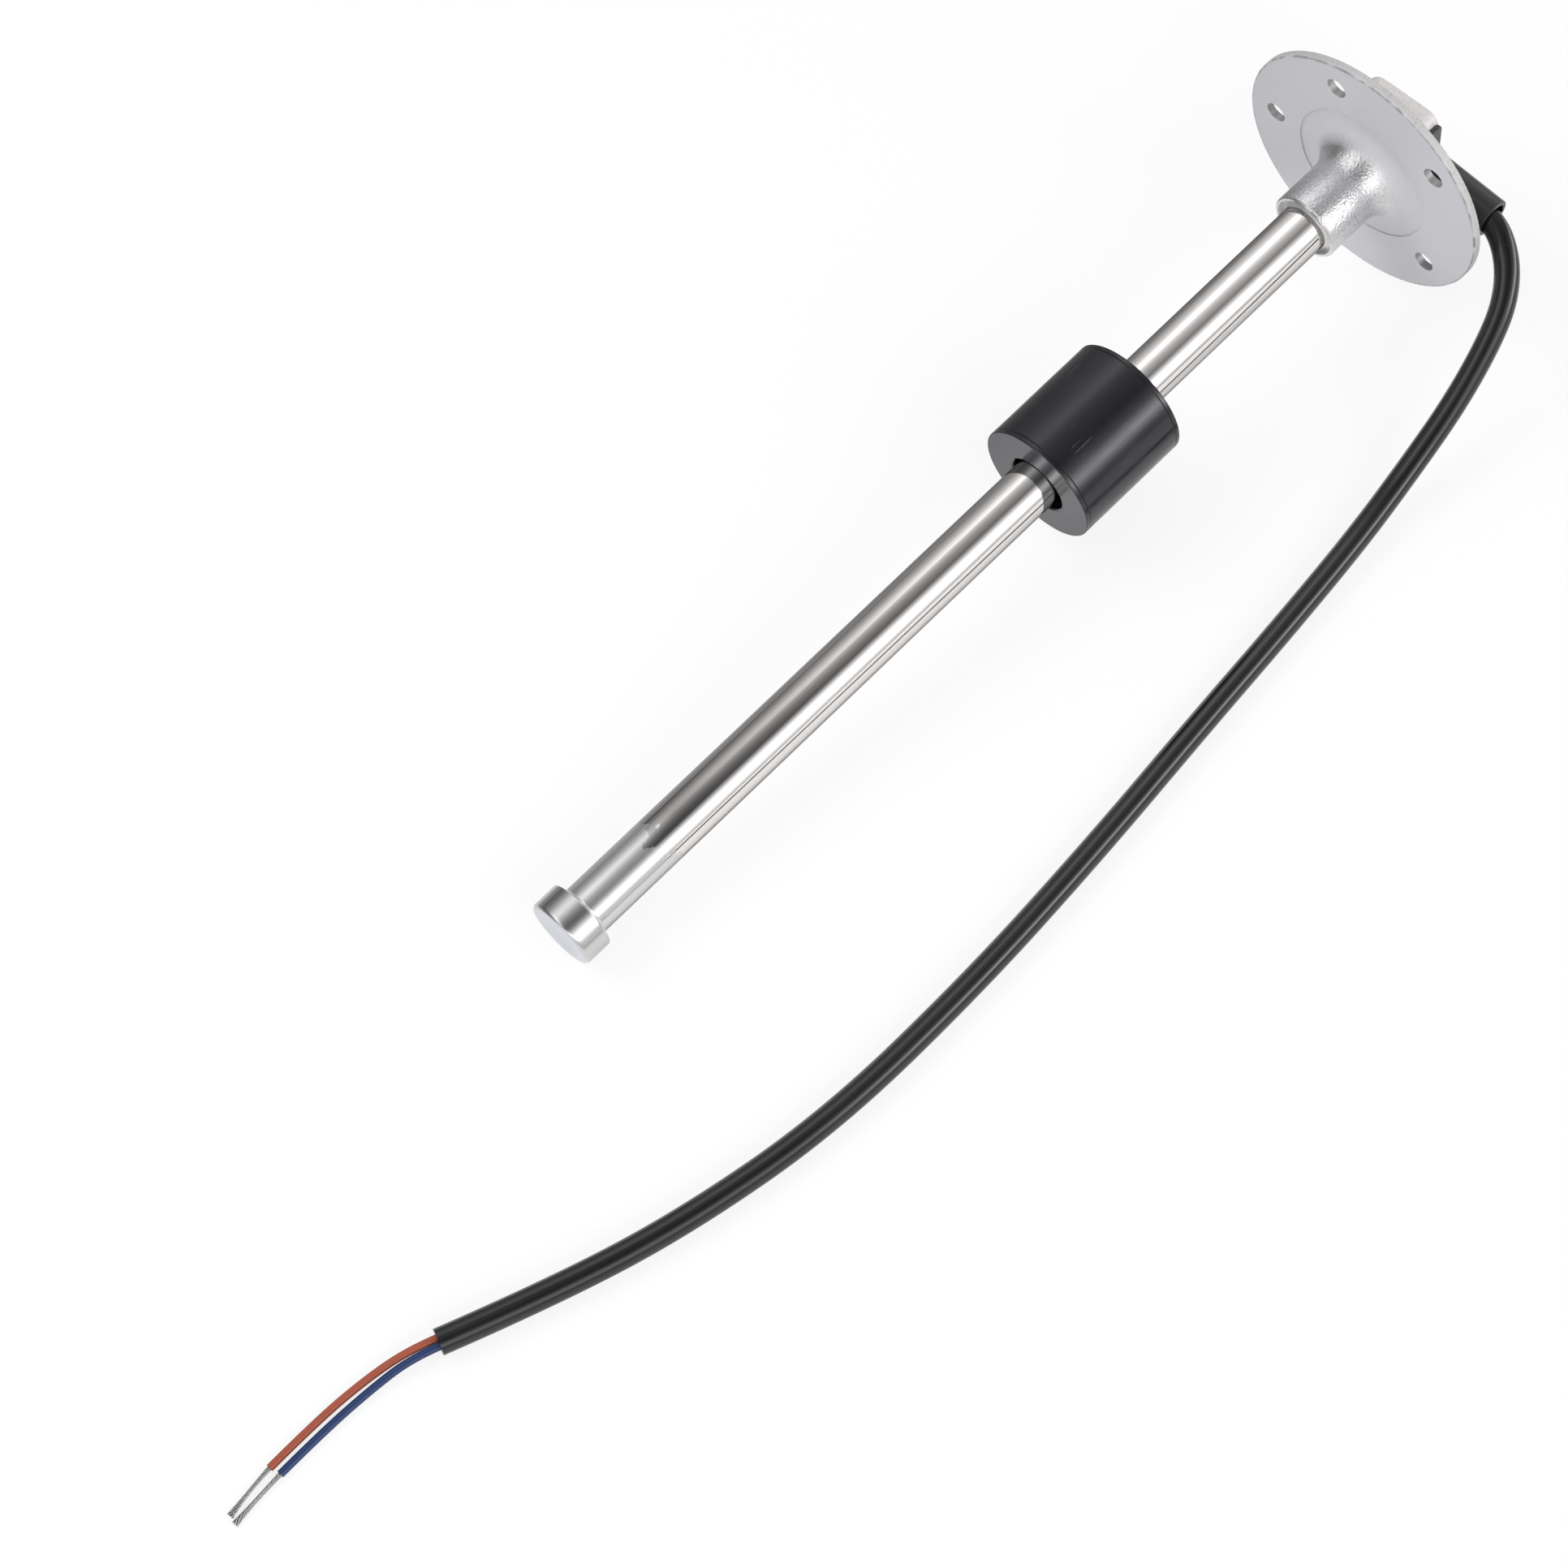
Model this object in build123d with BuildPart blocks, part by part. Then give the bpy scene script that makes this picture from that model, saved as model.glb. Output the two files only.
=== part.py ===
from build123d import *
import math
import os

# A float-type fuel sending unit, lying on the rim of its flange and of its end cap.
# Millimetres. The stem runs from the flange (+X) down to the end cap (-X), and the cable
# leaves the block on the -Y side. The origin is on the floor under the middle of the unit.

# Flange casting
flange_radius = 35.0
flange_thickness = 2.3
flange_rim_round = 0.3
bolt_circle_radius = 27.25
bolt_hole_radius = 2.75
bolt_hole_round = 0.25
bolt_pitch_deg = 70.0
bolt_count = 5
register_radius = 19.4
register_depth = 0.3
boss_radius = 9.15
boss_length = 20.7
boss_chamfer = 0.35
boss_flare = 8.0
recess_gap = 1.9
recess_depth = 1.0

# Cable block, on the other side of the flange
block_length = 21.0
block_width = 24.4
block_height = 15.5
block_shift = 1.8
block_corner = 4.0
block_edge = 0.8
block_foot = 0.8
passage_radius = 4.0
passage_roof = 2.4
cable_port_height = 9.0

# Stem
tube_radius = 6.35
tube_wall = 0.8
tube_seat = 2.0
cap_radius = 8.9
cap_top = 263.0
cap_length = 7.3
cap_socket = 4.5
cap_end_round = 1.15
cap_top_round = 0.4
cap_weld_width = 0.95

# Float
float_radius = 16.0
float_length = 32.0
float_bore_radius = 7.8
float_top = 82.5
float_edge = 0.25
float_bore_edge = 0.3
float_seam_inset = 1.3
float_seam = 0.15
magnet_groove_length = 10.0
magnet_groove_radius = 11.2
magnet_wall = 3.1

# Reed board in the tube
board_width = 8.0
board_thickness = 1.0
board_start = 24.0
board_end = 260.0
reed_gap = 2.2
reed_length = 14.0
reed_radius = 1.1
reed_tip_radius = 0.5
reed_taper = 0.8
reed_side_shift = 1.2
reed_lead_radius = 0.25
reed_lead_reach = 1.4
reed_lead_bend = 0.5
chip_length = 3.2
chip_width = 1.6
chip_height = 0.6
chip_side_shift = 2.7
spacer_thickness = 3.0
spacer_count = 3

# Leads, cable and boot
lead_radius = 0.9
lead_spacing = 3.0
lead_end = 31.0
lead_bend = 2.6
jacket_core_spacing = 2.0
potting_start = 5.0
potting_length = 12.0
cable_radius = 3.1
cable_start = 5.0
boot_plate_length = 12.4
boot_plate_width = 20.4
boot_plate_thickness = 1.0
boot_plate_corner = 1.5
boot_plate_edge = 0.3
boot_root_radius = 5.4
boot_sleeve_radius = 5.0
boot_sleeve_wall = 1.1
boot_sleeve_length = 22.7
boot_throat = 5.0
boot_root_round = 0.4
boot_rim_round = 0.3
boot_spigot_radius = 4.5
boot_spigot_length = 3.0
strand_radius = 0.6

# Routes of the cable and of its two cores, point by point, as they lie on the table
cable_route = [
    (136.70, -5.0, 36.11),
    (136.68, -8.7, 36.26),
    (136.71, -20.6, 35.93),
    (136.8, -32.0, 35.5),
    (132.9, -40.2, 32.0),
    (126.0, -46.2, 27.2),
    (116.7, -49.5, 21.6),
    (102.9, -52.3, 14.1),
    (86.0, -54.4, 8.1),
    (63.8, -57.3, 4.0),
    (34.0, -60.6, 3.1),
    (-0.2, -64.0, 3.1),
    (-40.0, -68.4, 3.1),
    (-83.8, -71.9, 3.1),
    (-130.8, -72.6, 3.1),
    (-170.4, -66.5, 3.1),
    (-201.4, -57.7, 3.1),
    (-225.8, -48.7, 3.1),
]
blue_route = [
    (-226.13, -49.59, 3.1),
    (-232.23, -47.34, 3.1),
    (-242.0, -45.7, 1.1),
    (-255.5, -45.3, 0.95),
    (-268.3, -45.8, 0.95),
]
brown_route = [
    (-225.47, -47.81, 3.1),
    (-231.57, -45.56, 3.1),
    (-241.5, -43.3, 1.1),
    (-255.0, -42.6, 0.95),
    (-269.0, -43.2, 0.95),
]
blue_strand_route = [
    (-268.3, -45.8, 0.95),
    (-275.2, -46.2, 0.75),
    (-282.1, -47.0, 0.65),
]
brown_strand_route = [
    (-269.0, -43.2, 0.95),
    (-275.5, -43.8, 0.75),
    (-281.6, -45.0, 0.65),
]

# Fits
seat_clearance = 0.02
cable_clearance = 0.1
slide_clearance = 0.08

# How it lies
roll_deg = 2.4
boot_droop_deg = 4.0

# The flange's lower rim and the cap's rounded rim both touch the floor.
stem_end = cap_top + cap_length
rise_between_rims = flange_radius - flange_rim_round - cap_radius + cap_end_round
run_between_rims = stem_end - cap_end_round + flange_rim_round
rim_distance = math.hypot(rise_between_rims, run_between_rims)
stem_slope = math.atan2(rise_between_rims, run_between_rims) - math.asin(
    (cap_end_round - flange_rim_round) / rim_distance
)
flange_rise = (flange_radius - flange_rim_round) * math.cos(stem_slope) + flange_rim_round * (
    1 - math.sin(stem_slope)
)

# Half the overall length each way puts the origin under the middle.
roll = math.radians(roll_deg)
block_end = flange_thickness + block_height
block_far_side = block_length / 2 + block_shift
block_reach = (
    (block_far_side - block_corner) * math.sin(roll)
    + (block_width / 2 - block_corner) * math.cos(roll)
    + block_corner
)
reach_ahead = (
    (block_end - block_edge) * math.cos(stem_slope)
    + (block_reach - block_edge) * math.sin(stem_slope)
    + block_edge
)
reach_behind = (
    (stem_end - cap_end_round) * math.cos(stem_slope)
    + (cap_radius - cap_end_round) * math.sin(stem_slope)
    + cap_end_round
)
flange_centre = Vector((reach_behind - reach_ahead) / 2, 0, flange_rise)

# Directions: along the stem to the cap, out through the cable port, and square to both.
stem_way = Vector(-math.cos(stem_slope), 0, -math.sin(stem_slope))
upright = Vector(-math.sin(stem_slope), 0, math.cos(stem_slope))
cable_way = Vector(0, -1, 0) * math.cos(roll) + upright * math.sin(roll)
board_way = stem_way.cross(cable_way)

flange_plane = Plane(origin=flange_centre, x_dir=cable_way, z_dir=stem_way)
section_plane = Plane(origin=flange_centre, x_dir=cable_way, z_dir=cable_way.cross(stem_way))
stem_axis = Axis(flange_centre, stem_way)

passage_end = block_end - passage_roof
port_level = flange_thickness + cable_port_height
port_side = block_length / 2 - block_shift
port_centre = flange_centre + cable_way * port_side - stem_way * port_level
port_plane = Plane(origin=port_centre, x_dir=stem_way * -1, z_dir=cable_way)
port_bore_radius = cable_radius + cable_clearance
port_socket_radius = boot_spigot_radius + seat_clearance

tube_bore_radius = tube_radius - tube_wall
seat_radius = tube_radius + seat_clearance

os.makedirs("parts", exist_ok=True)


# Flange casting: a turned outline with the block on its back, then the bores.
with BuildPart() as flange_casting:
    with BuildSketch(section_plane):
        with BuildLine():
            Polyline(
                (0, -register_depth),
                (0, -flange_thickness),
                (flange_radius, -flange_thickness),
                (flange_radius, 0),
                (register_radius, 0),
                (register_radius, -register_depth),
                (boss_radius + boss_flare, -register_depth),
            )
            RadiusArc(
                (boss_radius + boss_flare, -register_depth),
                (boss_radius, boss_flare - register_depth),
                boss_flare,
            )
            Polyline(
                (boss_radius, boss_flare - register_depth),
                (boss_radius, boss_length - boss_chamfer),
                (boss_radius - boss_chamfer, boss_length),
                (0, boss_length),
                (0, -register_depth),
            )
        make_face()
    revolve(axis=stem_axis)
    fillet(
        edges().filter_by(lambda e: e.geom_type == GeomType.CIRCLE and e.radius > register_radius + 1),
        flange_rim_round,
    )
    with BuildSketch(flange_plane.offset(-flange_thickness)):
        with Locations((-block_shift, 0)):
            RectangleRounded(block_length, block_width, block_corner)
    extrude(amount=-block_height)
    fillet(faces().sort_by(stem_axis)[0].edges(), block_edge)
    foot = edges().filter_by_position(stem_axis, -flange_thickness - 0.01, -flange_thickness + 0.01)
    fillet(foot.filter_by(lambda e: e.length < flange_radius), block_foot)
    with BuildSketch(flange_plane.offset(boss_length)):
        Circle(tube_radius + recess_gap)
    extrude(amount=-recess_depth, mode=Mode.SUBTRACT)
    with Locations(flange_plane.offset(boss_length)):
        CounterBoreHole(
            passage_radius,
            seat_radius,
            counter_bore_depth=boss_length - tube_seat,
            depth=boss_length + passage_end,
        )
    with Locations(port_plane):
        CounterBoreHole(
            port_bore_radius,
            port_socket_radius,
            counter_bore_depth=boot_spigot_length + seat_clearance,
            depth=port_side,
        )
    with BuildSketch(flange_plane):
        with PolarLocations(
            bolt_circle_radius,
            bolt_count,
            start_angle=180 - bolt_pitch_deg * (bolt_count - 1) / 2,
            angular_range=bolt_pitch_deg * (bolt_count - 1),
            endpoint=True,
        ):
            Circle(bolt_hole_radius)
    extrude(amount=-flange_thickness, mode=Mode.SUBTRACT)
    hole_mouths = edges().filter_by(
        lambda e: e.geom_type == GeomType.CIRCLE and abs(e.radius - bolt_hole_radius) < 0.001
    )
    fillet(hole_mouths, bolt_hole_round)
flange_casting.part.label = "flange_casting"
export_step(flange_casting.part, "parts/flange_casting.step")


# Stem: the thin tube, the solid cap on its end and the two weld beads.
tube_end = cap_top + cap_socket
with BuildPart() as stem_tube:
    with BuildSketch(flange_plane.offset(tube_seat)):
        Circle(tube_radius)
        Circle(tube_bore_radius, mode=Mode.SUBTRACT)
    extrude(amount=tube_end - tube_seat)
stem_tube.part.label = "stem_tube"
export_step(stem_tube.part, "parts/stem_tube.step")

with BuildPart() as stem_weld:
    with BuildSketch(section_plane):
        with BuildLine():
            Polyline(
                (tube_radius, boss_length - 0.1),
                (tube_radius, boss_length - recess_depth),
                (tube_radius + recess_gap, boss_length - recess_depth),
            )
            RadiusArc(
                (tube_radius + recess_gap, boss_length - recess_depth),
                (tube_radius, boss_length - 0.1),
                2 * recess_gap,
            )
        make_face()
    revolve(axis=stem_axis)
stem_weld.part.label = "stem_weld"
export_step(stem_weld.part, "parts/stem_weld.step")

with BuildPart() as end_cap:
    with BuildSketch(flange_plane.offset(cap_top)):
        Circle(cap_radius)
    extrude(amount=cap_length)
    fillet(edges().sort_by(stem_axis)[-1], cap_end_round)
    fillet(edges().sort_by(stem_axis)[0], cap_top_round)
    with BuildSketch(flange_plane.offset(cap_top)):
        Circle(seat_radius)
    extrude(amount=cap_socket, mode=Mode.SUBTRACT)
end_cap.part.label = "end_cap"
export_step(end_cap.part, "parts/end_cap.step")

with BuildPart() as cap_weld:
    with BuildSketch(section_plane):
        with BuildLine():
            Polyline(
                (tube_radius, cap_top - cap_weld_width),
                (tube_radius, cap_top),
                (tube_radius + cap_weld_width, cap_top),
            )
            RadiusArc(
                (tube_radius + cap_weld_width, cap_top),
                (tube_radius, cap_top - cap_weld_width),
                -2 * cap_weld_width,
            )
        make_face()
    revolve(axis=stem_axis)
cap_weld.part.label = "cap_weld"
export_step(cap_weld.part, "parts/cap_weld.step")


# Float: it hangs on the stem, so the top of its bore lies on the tube.
float_hang = float_bore_radius - tube_radius - slide_clearance
float_centre = flange_centre + stem_way * float_top - upright * float_hang
float_section = Plane(origin=float_centre, x_dir=cable_way, z_dir=cable_way.cross(stem_way))
float_axis = Axis(float_centre, stem_way)
groove_start = (float_length - magnet_groove_length) / 2
groove_end = groove_start + magnet_groove_length
near_seam = float_length - float_seam_inset
with BuildPart() as float_body:
    with BuildSketch(float_section):
        with BuildLine():
            Polyline(
                (float_bore_radius + float_bore_edge, 0),
                (float_radius - float_edge, 0),
                (float_radius, float_edge),
                (float_radius, float_seam_inset - float_seam),
                (float_radius - float_seam, float_seam_inset),
                (float_radius, float_seam_inset + float_seam),
                (float_radius, near_seam - float_seam),
                (float_radius - float_seam, near_seam),
                (float_radius, near_seam + float_seam),
                (float_radius, float_length - float_edge),
                (float_radius - float_edge, float_length),
                (float_bore_radius + float_bore_edge, float_length),
                (float_bore_radius, float_length - float_bore_edge),
                (float_bore_radius, groove_end),
                (magnet_groove_radius, groove_end),
                (magnet_groove_radius, groove_start),
                (float_bore_radius, groove_start),
                (float_bore_radius, float_bore_edge),
                close=True,
            )
        make_face()
    revolve(axis=float_axis)
float_body.part.label = "float_body"
export_step(float_body.part, "parts/float_body.step")

magnet_outer_radius = magnet_groove_radius - seat_clearance
with BuildPart() as magnet_ring:
    with BuildSketch(Plane(origin=float_centre + stem_way * (groove_start + seat_clearance), z_dir=stem_way)):
        Circle(magnet_outer_radius)
        Circle(magnet_outer_radius - magnet_wall, mode=Mode.SUBTRACT)
    extrude(amount=magnet_groove_length - 2 * seat_clearance)
magnet_ring.part.label = "magnet_ring"
export_step(magnet_ring.part, "parts/magnet_ring.step")


# Reed board: the board's top lies one lead radius under the stem axis, so the leads land on it.
board_top = -lead_radius
reed_height = board_top + reed_radius
with BuildPart() as circuit_board:
    with BuildSketch(flange_plane.offset(board_start)):
        with Locations((0, board_top - board_thickness / 2)):
            Rectangle(board_width, board_thickness)
    extrude(amount=board_end - board_start)
circuit_board.part.label = "circuit_board"
export_step(circuit_board.part, "parts/circuit_board.step")

first_spacer = lead_end + 2
last_spacer = board_end - spacer_thickness - 2
spacer_pitch = (last_spacer - first_spacer) / (spacer_count - 1)
spacer_radius = tube_bore_radius - seat_clearance
window_low = board_top - board_thickness - seat_clearance
window_high = reed_height + reed_radius + 0.3
with BuildPart() as board_spacers:
    for index in range(spacer_count):
        with BuildSketch(flange_plane.offset(first_spacer + index * spacer_pitch)):
            Circle(spacer_radius)
            with Locations((0, (window_low + window_high) / 2)):
                Rectangle(board_width + 2 * seat_clearance, window_high - window_low, mode=Mode.SUBTRACT)
        extrude(amount=spacer_thickness)
board_spacers.part.label = "board_spacers"
export_step(board_spacers.part, "parts/board_spacers.step")

reed_room = last_spacer - first_spacer - spacer_thickness
reed_count = int(reed_room / (reed_length + 2 * (reed_lead_reach + reed_lead_radius) + reed_gap))
reed_pitch = reed_room / reed_count
first_reed = first_spacer + spacer_thickness + reed_pitch / 2
reed_stations = [first_reed + index * reed_pitch for index in range(reed_count)]
reed_origin = flange_centre + board_way * reed_height - cable_way * reed_side_shift
reed_plane = Plane(origin=reed_origin, x_dir=stem_way, z_dir=stem_way.cross(board_way))
with BuildPart() as reed_capsules:
    for station in reed_stations:
        start = station - reed_length / 2
        end = station + reed_length / 2
        with BuildSketch(reed_plane):
            with BuildLine():
                Polyline(
                    (start, 0),
                    (start, reed_tip_radius),
                    (start + reed_taper, reed_radius),
                    (end - reed_taper, reed_radius),
                    (end, reed_tip_radius),
                    (end, 0),
                    close=True,
                )
            make_face()
        revolve(axis=Axis(reed_origin, stem_way))
reed_capsules.part.label = "reed_capsules"
export_step(reed_capsules.part, "parts/reed_capsules.step")

with BuildPart() as reed_leads:
    for station in reed_stations:
        for side in (-1, 1):
            tip = station + side * reed_length / 2
            elbow = tip + side * reed_lead_reach
            with BuildLine(reed_plane) as wire:
                FilletPolyline((tip, 0), (elbow, 0), (elbow, -reed_radius), radius=reed_lead_bend)
            with BuildSketch(Plane(origin=wire.line @ 0, z_dir=wire.line % 0)):
                Circle(reed_lead_radius)
            sweep(path=wire.line)
reed_leads.part.label = "reed_leads"
export_step(reed_leads.part, "parts/reed_leads.step")

board_plane = Plane(origin=flange_centre + board_way * board_top, x_dir=stem_way, z_dir=board_way)
with BuildPart() as chip_resistors:
    for station in reed_stations:
        with BuildSketch(board_plane):
            with Locations((station, chip_side_shift)):
                Rectangle(chip_length, chip_width)
        extrude(amount=chip_height)
chip_resistors.part.label = "chip_resistors"
export_step(chip_resistors.part, "parts/chip_resistors.step")


# Leads: from the cable's end in the block, round into the passage and down to the board.
def lead_path(side, port_offset, bend):
    """A lead in the stem's section plane, lying on the side of the board given by side."""
    with BuildLine(section_plane) as path:
        FilletPolyline(
            (side * lead_spacing / 2, lead_end),
            (side * lead_spacing / 2, -port_level + port_offset),
            (cable_start, -port_level + port_offset),
            radius=bend,
        )
    return path.line


blue_path = lead_path(1, jacket_core_spacing / 2, lead_bend)
with BuildPart() as blue_lead:
    with BuildSketch(Plane(origin=blue_path @ 0, z_dir=blue_path % 0)):
        Circle(lead_radius)
    sweep(path=blue_path)
blue_lead.part.label = "blue_lead"
export_step(blue_lead.part, "parts/blue_lead.step")

brown_path = lead_path(-1, -jacket_core_spacing / 2, lead_bend + jacket_core_spacing)
with BuildPart() as brown_lead:
    with BuildSketch(Plane(origin=brown_path @ 0, z_dir=brown_path % 0)):
        Circle(lead_radius)
    sweep(path=brown_path)
brown_lead.part.label = "brown_lead"
export_step(brown_lead.part, "parts/brown_lead.step")

with BuildPart() as potting_plug:
    with BuildSketch(flange_plane.offset(potting_start)):
        Circle(tube_bore_radius - seat_clearance)
        with Locations((lead_spacing / 2, 0), (-lead_spacing / 2, 0)):
            Circle(lead_radius + seat_clearance, mode=Mode.SUBTRACT)
    extrude(amount=potting_length)
potting_plug.part.label = "potting_plug"
export_step(potting_plug.part, "parts/potting_plug.step")


# Boot: a plate on the block, a spigot in the port, and an open sleeve that droops a little.
boot_droop = math.radians(boot_droop_deg)
sleeve_way = cable_way * math.cos(boot_droop) - board_way * math.sin(boot_droop)
sleeve_plane = Plane(origin=port_centre, x_dir=stem_way * -1, z_dir=sleeve_way)
sleeve_run = boot_sleeve_length - boot_plate_thickness / 2
sleeve_taper = math.degrees(math.atan2(boot_root_radius - boot_sleeve_radius, sleeve_run))
with BuildPart() as cable_boot:
    with BuildSketch(port_plane):
        RectangleRounded(boot_plate_length, boot_plate_width, boot_plate_corner)
    extrude(amount=boot_plate_thickness)
    fillet(faces().sort_by(Axis(port_centre, cable_way))[-1].edges(), boot_plate_edge)
    with BuildSketch(sleeve_plane.offset(boot_plate_thickness / 2)):
        Circle(boot_root_radius)
    extrude(amount=sleeve_run, taper=sleeve_taper)
    root = edges().filter_by(
        lambda e: abs((e.center() - port_centre).dot(cable_way) - boot_plate_thickness) < 0.01
        and e.length < 8 * boot_root_radius
    )
    fillet(root.filter_by(lambda e: e.geom_type == GeomType.ELLIPSE), boot_root_round)
    fillet(faces().sort_by(Axis(port_centre, sleeve_way))[-1].edges(), boot_rim_round)
    with BuildSketch(port_plane):
        Circle(boot_spigot_radius)
    extrude(amount=-boot_spigot_length)
    with Locations(sleeve_plane.offset(boot_sleeve_length)):
        CounterBoreHole(
            port_bore_radius,
            boot_sleeve_radius - boot_sleeve_wall,
            counter_bore_depth=boot_sleeve_length - boot_throat,
            depth=boot_sleeve_length,
        )
    with BuildSketch(port_plane.offset(-boot_spigot_length)):
        Circle(port_bore_radius + cable_clearance)
    extrude(amount=boot_spigot_length + boot_plate_thickness, mode=Mode.SUBTRACT)
cable_boot.part.label = "cable_boot"
export_step(cable_boot.part, "parts/cable_boot.step")

# Cable, its two cores past the cut end, and their bare strands.
arc_share = 0.45


def cord_line(route):
    """Straight runs joined by arcs, each as large as its two runs allow."""
    points = [Vector(*point) for point in route]
    radii = []
    for before, corner, after in zip(points, points[1:], points[2:]):
        turn = math.radians((corner - before).get_angle(after - corner))
        shorter = min((corner - before).length, (after - corner).length)
        radii.append(arc_share * shorter / math.tan(turn / 2))
    with BuildLine() as line:
        FilletPolyline(*points, radius=radii)
    return line.wire(), radii


def report_cord(name, part, line, radius, radii):
    """Prints the arc radii and compares the tube with its section times its length."""
    share = part.volume / (math.pi * radius**2 * line.length)
    print(name, "length", round(line.length, 2), "volume share", round(share, 5))
    print(name, "radii", [round(value, 1) for value in radii])


cable_line, cable_radii = cord_line(cable_route)
with BuildPart() as cable_jacket:
    with BuildSketch(Plane(origin=cable_line @ 0, z_dir=cable_line % 0)):
        Circle(cable_radius)
    sweep(path=cable_line)
cable_jacket.part.label = "cable_jacket"
export_step(cable_jacket.part, "parts/cable_jacket.step")
report_cord("cable_jacket", cable_jacket.part, cable_line, cable_radius, cable_radii)

blue_line, blue_radii = cord_line(blue_route)
with BuildPart() as blue_core:
    with BuildSketch(Plane(origin=blue_line @ 0, z_dir=blue_line % 0)):
        Circle(lead_radius)
    sweep(path=blue_line)
blue_core.part.label = "blue_core"
export_step(blue_core.part, "parts/blue_core.step")
report_cord("blue_core", blue_core.part, blue_line, lead_radius, blue_radii)

brown_line, brown_radii = cord_line(brown_route)
with BuildPart() as brown_core:
    with BuildSketch(Plane(origin=brown_line @ 0, z_dir=brown_line % 0)):
        Circle(lead_radius)
    sweep(path=brown_line)
brown_core.part.label = "brown_core"
export_step(brown_core.part, "parts/brown_core.step")
report_cord("brown_core", brown_core.part, brown_line, lead_radius, brown_radii)

blue_strand_line, blue_strand_radii = cord_line(blue_strand_route)
with BuildPart() as blue_strands:
    with BuildSketch(Plane(origin=blue_strand_line @ 0, z_dir=blue_strand_line % 0)):
        Circle(strand_radius)
    sweep(path=blue_strand_line)
blue_strands.part.label = "blue_strands"
export_step(blue_strands.part, "parts/blue_strands.step")
report_cord("blue_strands", blue_strands.part, blue_strand_line, strand_radius, blue_strand_radii)

brown_strand_line, brown_strand_radii = cord_line(brown_strand_route)
with BuildPart() as brown_strands:
    with BuildSketch(Plane(origin=brown_strand_line @ 0, z_dir=brown_strand_line % 0)):
        Circle(strand_radius)
    sweep(path=brown_strand_line)
brown_strands.part.label = "brown_strands"
export_step(brown_strands.part, "parts/brown_strands.step")
report_cord("brown_strands", brown_strands.part, brown_strand_line, strand_radius, brown_strand_radii)
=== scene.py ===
import math

import bmesh
import bpy
from mathutils import Matrix, Vector


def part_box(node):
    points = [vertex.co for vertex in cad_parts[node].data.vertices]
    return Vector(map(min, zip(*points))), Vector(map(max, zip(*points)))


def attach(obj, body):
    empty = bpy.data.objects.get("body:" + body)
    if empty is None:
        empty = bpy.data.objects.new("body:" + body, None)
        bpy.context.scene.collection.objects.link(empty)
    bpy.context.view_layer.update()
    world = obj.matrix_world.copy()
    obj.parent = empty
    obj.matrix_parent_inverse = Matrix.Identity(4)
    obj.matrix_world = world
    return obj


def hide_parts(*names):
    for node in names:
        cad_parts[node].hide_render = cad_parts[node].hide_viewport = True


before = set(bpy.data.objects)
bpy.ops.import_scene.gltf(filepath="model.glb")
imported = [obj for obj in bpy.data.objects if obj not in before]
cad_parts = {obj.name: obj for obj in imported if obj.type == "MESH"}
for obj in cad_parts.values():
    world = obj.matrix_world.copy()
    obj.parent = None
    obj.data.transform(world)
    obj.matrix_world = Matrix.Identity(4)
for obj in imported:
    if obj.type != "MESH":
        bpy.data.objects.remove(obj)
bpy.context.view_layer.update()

# Flange casting: one sandblasted casting with the boss, the raised register and the cable
# block. The boss is bright and grainy, the sealing face dull and even, and the rim, the
# back and the block are pale and finely pitted. Spans run from where a mask is 0 to 1.
flange_low, flange_high = [Vector(corner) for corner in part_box("flange_casting")]
flange_radius = (flange_high.y - flange_low.y) / 2
stem_slope = math.radians(5.5318)
stem_way = Vector((-math.cos(stem_slope), 0, -math.sin(stem_slope)))
flange_centre = Vector((0.125471, 0, 0.0348095))
pit_span = (0.56, 0.70)
pit_tone = (0.55, 0.54, 0.535, 1)
off_seat_span = (0.0005, 0.0030)
on_seat_span = (0.0030, 0.0004)
seat_relief = 0.25
seat_tone = (0.615, 0.615, 0.64, 1)
rim_band_span = (0.0318, 0.0326)
past_edge_span = (-0.0003, -0.0008)
block_side_span = (-0.0021, -0.0024)
back_tone = (0.68, 0.66, 0.652, 1)
back_pit_tone = (0.52, 0.505, 0.50, 1)
below_face_span = (-0.00012, -0.00025)
above_back_span = (-0.00235, -0.00220)
inside_holes_span = (0.0236, 0.0240)
outside_holes_span = (0.0310, 0.0306)
# The bolt holes' walls take this darker tone, which is painted shade.
hole_shade_tone = (0.36, 0.355, 0.355, 1)
outer_span = (flange_radius - 0.0006, flange_radius - 0.0002)
lower_edge_span = (-0.0006, -0.0002)
rim_tone = (0.50, 0.487, 0.48, 1)
rim_pit_tone = (0.36, 0.35, 0.345, 1)
# A thin dark line along the flange's lower outer edge, broken up with noise:
edge_break_scale = 380.0
edge_break_amount = 0.22
edge_line_tone = (0.20, 0.19, 0.19, 1)


def new_group(name, inputs, outputs):
    """An empty node group with float or vector inputs and float outputs."""
    group = bpy.data.node_groups.new(name, "ShaderNodeTree")
    for label, kind, value in inputs:
        socket = group.interface.new_socket(label, in_out="INPUT", socket_type=kind)
        if value is not None:
            socket.default_value = value
    for label in outputs:
        group.interface.new_socket(label, in_out="OUTPUT", socket_type="NodeSocketFloat")
    return group, group.nodes.new("NodeGroupInput"), group.nodes.new("NodeGroupOutput")


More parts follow.
